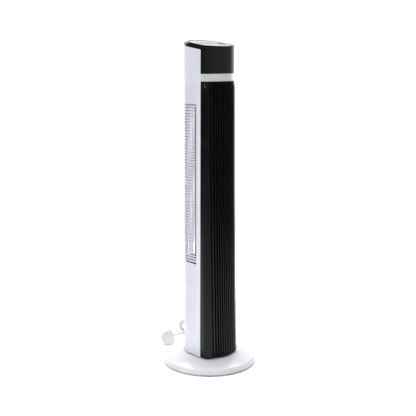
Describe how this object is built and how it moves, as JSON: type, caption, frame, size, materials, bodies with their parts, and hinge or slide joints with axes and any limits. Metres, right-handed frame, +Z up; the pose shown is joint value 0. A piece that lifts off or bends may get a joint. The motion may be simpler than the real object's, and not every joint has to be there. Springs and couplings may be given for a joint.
{
  "type": "tower fan",
  "caption": "Tall oscillating column fan on a round base: ribbed black front, louvred white back, silver band, sloping control panel, mains cord with plug.",
  "frame": {"origin": "on the floor under the middle of the round base", "axes": "+Z up along the column, -Y towards the black front that blows air, +X to the right as seen by someone facing that front"},
  "size_m": [0.3505, 0.4143, 0.9948],
  "materials": {
    "white_gloss": "polished moulded ABS",
    "white_satin": "semi-gloss moulded ABS",
    "white_inner": "plain moulded plastic",
    "black_gloss": "piano black",
    "black_satin": "semi-gloss black",
    "silver_trim": "brushed",
    "silver_panel": "silver film under clear gloss",
    "silver_button": "silver paint, gloss",
    "smoked_lens": "smoked clear plastic",
    "dark_plastic": "moulded grain",
    "bearing_plastic": "natural acetal",
    "foot_rubber": "matt",
    "screw_steel": "zinc plated",
    "ballast_steel": "raw",
    "motor_steel": "laminated steel and zinc plate",
    "circuit_board": "solder mask",
    "light_plastic": "diffuse",
    "impeller_black": "glass-filled plastic",
    "cord_white": "soft PVC",
    "tie_white": "soft strap",
    "plug_white": "moulded PVC",
    "pin_brass": "plated"
  },
  "bodies": {
    "base": {"base_cover": "white_gloss", "base_plate": "dark_plastic", "base_screws": "screw_steel", "ballast_ring": "ballast_steel", "rubber_feet": "foot_rubber", "pivot_hub": "white_gloss", "slide_washer": "bearing_plastic", "pivot_retainer": "bearing_plastic", "fixed_gear": "bearing_plastic", "gear_screws": "screw_steel", "cord_gland": "cord_white", "cord_lead": "cord_white", "cord_hank": "cord_white", "cord_tie": "tie_white", "cord_tail": "cord_white", "plug_body": "plug_white", "plug_pins": "pin_brass", "plug_fuse_cover": "plug_white", "plug_relief": "plug_white"},
    "tower": {"chassis": "dark_plastic", "rear_housing": "white_satin", "rear_crown": "white_satin", "grip_cup": "white_satin", "front_grille": "black_satin", "lower_baffle": "dark_plastic", "upper_baffle": "dark_plastic", "silver_band": "silver_trim", "head_cover": "black_gloss", "top_rim": "black_gloss", "control_panel": "silver_panel", "display_lens": "smoked_lens", "control_board": "circuit_board", "board_screws": "screw_steel", "tact_switches": "dark_plastic", "indicator_lights": "light_plastic", "duct_scroll": "white_inner", "duct_tongue": "white_inner", "duct_bottom_plate": "white_inner", "duct_top_plate": "white_inner", "top_bearing": "foot_rubber", "motor_housing": "motor_steel", "motor_mounts": "foot_rubber", "motor_screws": "screw_steel", "motor_capacitor": "dark_plastic", "power_board": "circuit_board", "board_carrier": "dark_plastic", "swing_motor": "motor_steel", "column_screws": "screw_steel"},
    "impeller": {"impeller_drum": "impeller_black", "impeller_coupling": "foot_rubber", "rotor_shaft": "screw_steel", "top_stub": "screw_steel"},
    "pinion": {"swing_pinion": "bearing_plastic", "pinion_shaft": "screw_steel"},
    "power_button": {"power_button": "silver_button"},
    "speed_button": {"speed_button": "silver_button"},
    "mode_button": {"mode_button": "silver_button"},
    "swing_button": {"swing_button": "silver_button"},
    "timer_button": {"timer_button": "silver_button"}
  },
  "joints": [
    {"name": "column_swing", "type": "hinge", "parent": "base", "child": "tower", "pos_m": [0, 0, 0.03], "axis": [0, 0, 1], "range_deg": [-40, 40]},
    {"name": "impeller_spin", "type": "hinge", "parent": "tower", "child": "impeller", "pos_m": [0, 0.006, 0.5], "axis": [0, 0, 1], "continuous": true},
    {"name": "pinion_spin", "type": "hinge", "parent": "tower", "child": "pinion", "pos_m": [0, 0.038, 0.043], "axis": [0, 0, 1], "range_deg": [-151, 151]},
    {"name": "timer_button_press", "type": "slide", "parent": "tower", "child": "timer_button", "axis": [0, 0.1464, -0.9892], "range_m": [0, 0.0012], "stiffness_N_per_m": 400, "springref_m": -0.0006},
    {"name": "swing_button_press", "type": "slide", "parent": "tower", "child": "swing_button", "axis": [0, 0.1464, -0.9892], "range_m": [0, 0.0012], "stiffness_N_per_m": 400, "springref_m": -0.0006},
    {"name": "mode_button_press", "type": "slide", "parent": "tower", "child": "mode_button", "axis": [0, 0.1464, -0.9892], "range_m": [0, 0.0012], "stiffness_N_per_m": 400, "springref_m": -0.0006},
    {"name": "speed_button_press", "type": "slide", "parent": "tower", "child": "speed_button", "axis": [0, 0.1464, -0.9892], "range_m": [0, 0.0012], "stiffness_N_per_m": 400, "springref_m": -0.0006},
    {"name": "power_button_press", "type": "slide", "parent": "tower", "child": "power_button", "axis": [0, 0.1464, -0.9892], "range_m": [0, 0.0012], "stiffness_N_per_m": 700, "springref_m": -0.0006}
  ],
  "couplings": [
    {"joint": "pinion_spin", "follows": "column_swing", "ratio": 3.75}
  ]
}
